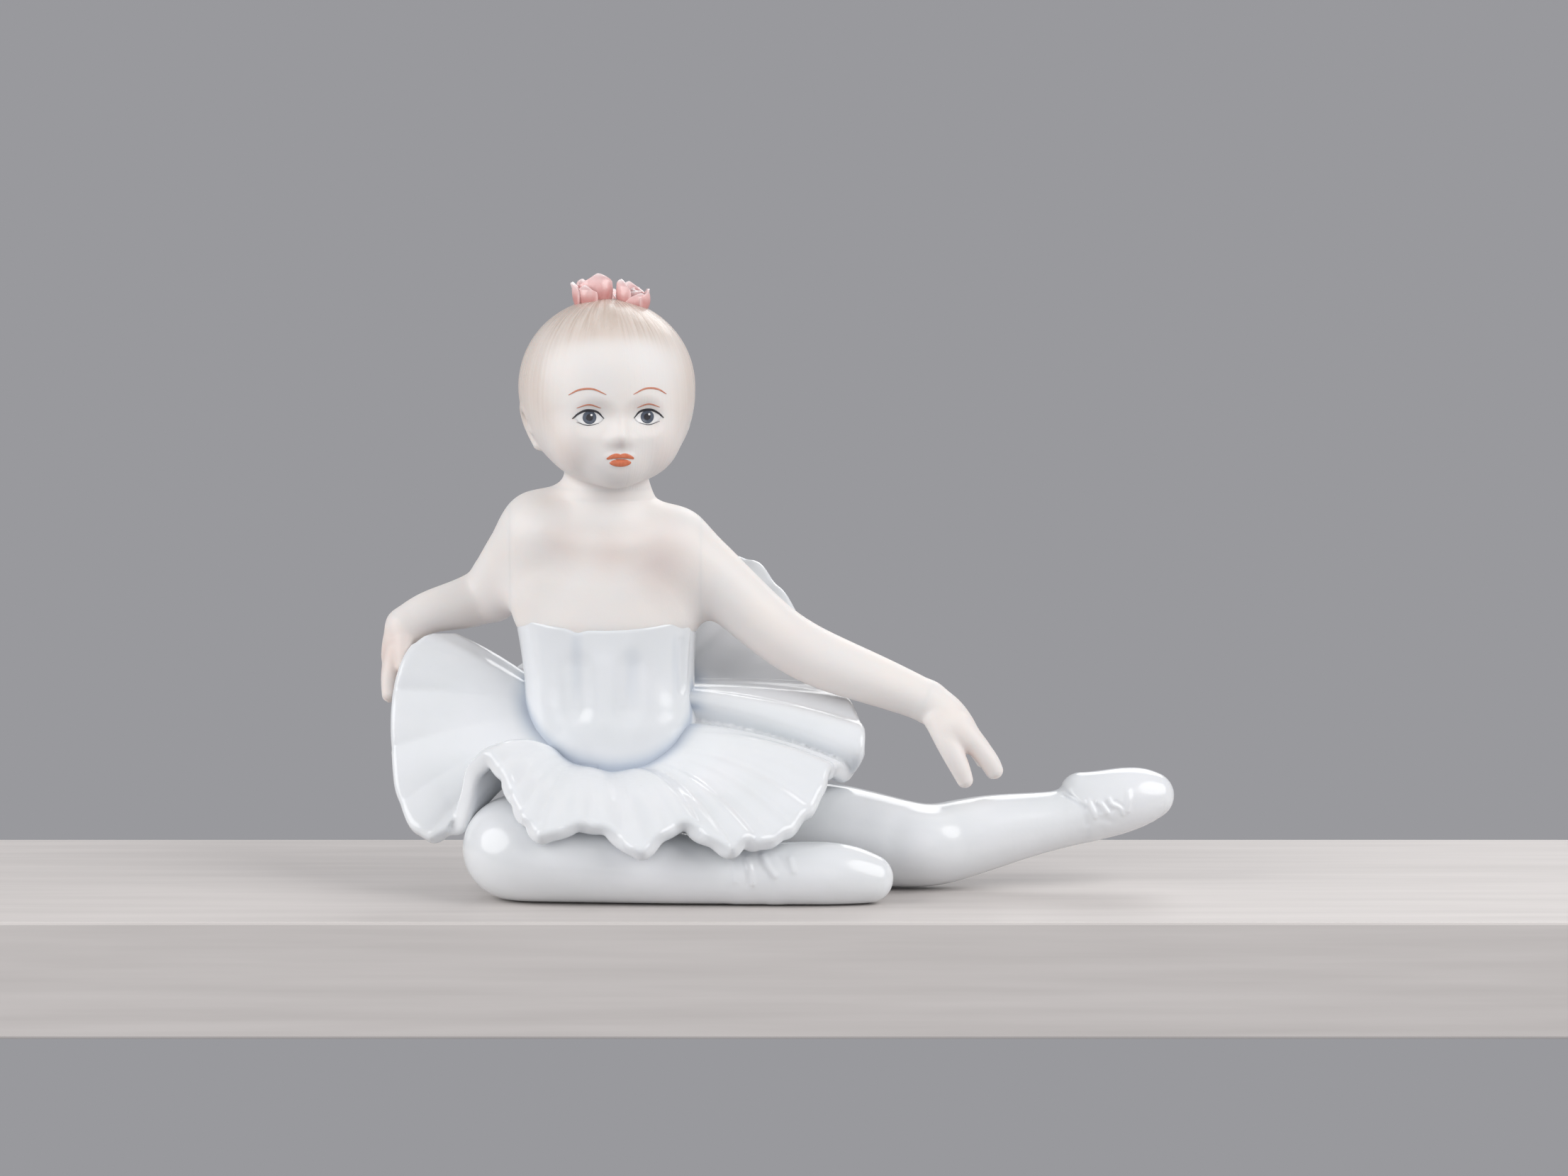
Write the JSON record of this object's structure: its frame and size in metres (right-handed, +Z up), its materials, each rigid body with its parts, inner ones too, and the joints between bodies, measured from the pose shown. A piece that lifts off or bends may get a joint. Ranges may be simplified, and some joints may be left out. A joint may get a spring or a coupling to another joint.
{
  "type": "porcelain figurine",
  "caption": "Seated child dancer figurine in porcelain: matte bisque skin, glazed bodice, ruffled tutu and tights, one leg folded, one stretched out, roses in the hair.",
  "frame": {"origin": "on the shelf plane under the torso's axis, in the flat unglazed foot of the hips", "axes": "+Z up, +X to the dancer's left along the stretched leg, the dancer faces -Y"},
  "size_m": [0.1784, 0.0844, 0.1362],
  "materials": {
    "bisque_skin": "matte bisque with a warm blush",
    "white_glaze": "clear gloss glaze, cool white",
    "rose_glaze": "gloss glaze, pale pink",
    "painted_hair": "matte, painted pale blond"
  },
  "bodies": {
    "root": {"head": "bisque_skin", "bust": "bisque_skin", "right_arm": "bisque_skin", "right_hand": "bisque_skin", "left_arm": "bisque_skin", "left_hand": "bisque_skin", "bodice": "white_glaze", "hips": "white_glaze", "right_thigh": "white_glaze", "right_shin": "white_glaze", "right_slipper": "white_glaze", "left_thigh": "white_glaze", "left_shin": "white_glaze", "left_slipper": "white_glaze", "tutu_right_wing": "white_glaze", "tutu_front_right": "white_glaze", "tutu_front": "white_glaze", "tutu_front_left": "white_glaze", "tutu_left_wing": "white_glaze", "tutu_back_left": "white_glaze", "tutu_back_right": "white_glaze", "rose_right_bud": "rose_glaze", "rose_right_petal_1": "rose_glaze", "rose_right_petal_2": "rose_glaze", "rose_right_petal_3": "rose_glaze", "rose_right_petal_4": "rose_glaze", "rose_right_petal_5": "rose_glaze", "rose_left_bud": "rose_glaze", "rose_left_petal_1": "rose_glaze", "rose_left_petal_2": "rose_glaze", "rose_left_petal_3": "rose_glaze", "rose_left_petal_4": "rose_glaze", "rose_back_bud": "rose_glaze", "rose_back_petal_1": "rose_glaze", "rose_back_petal_2": "rose_glaze", "rose_back_petal_3": "rose_glaze", "rose_back_petal_4": "rose_glaze", "hair_bun": "painted_hair"}
  },
  "joints": []
}
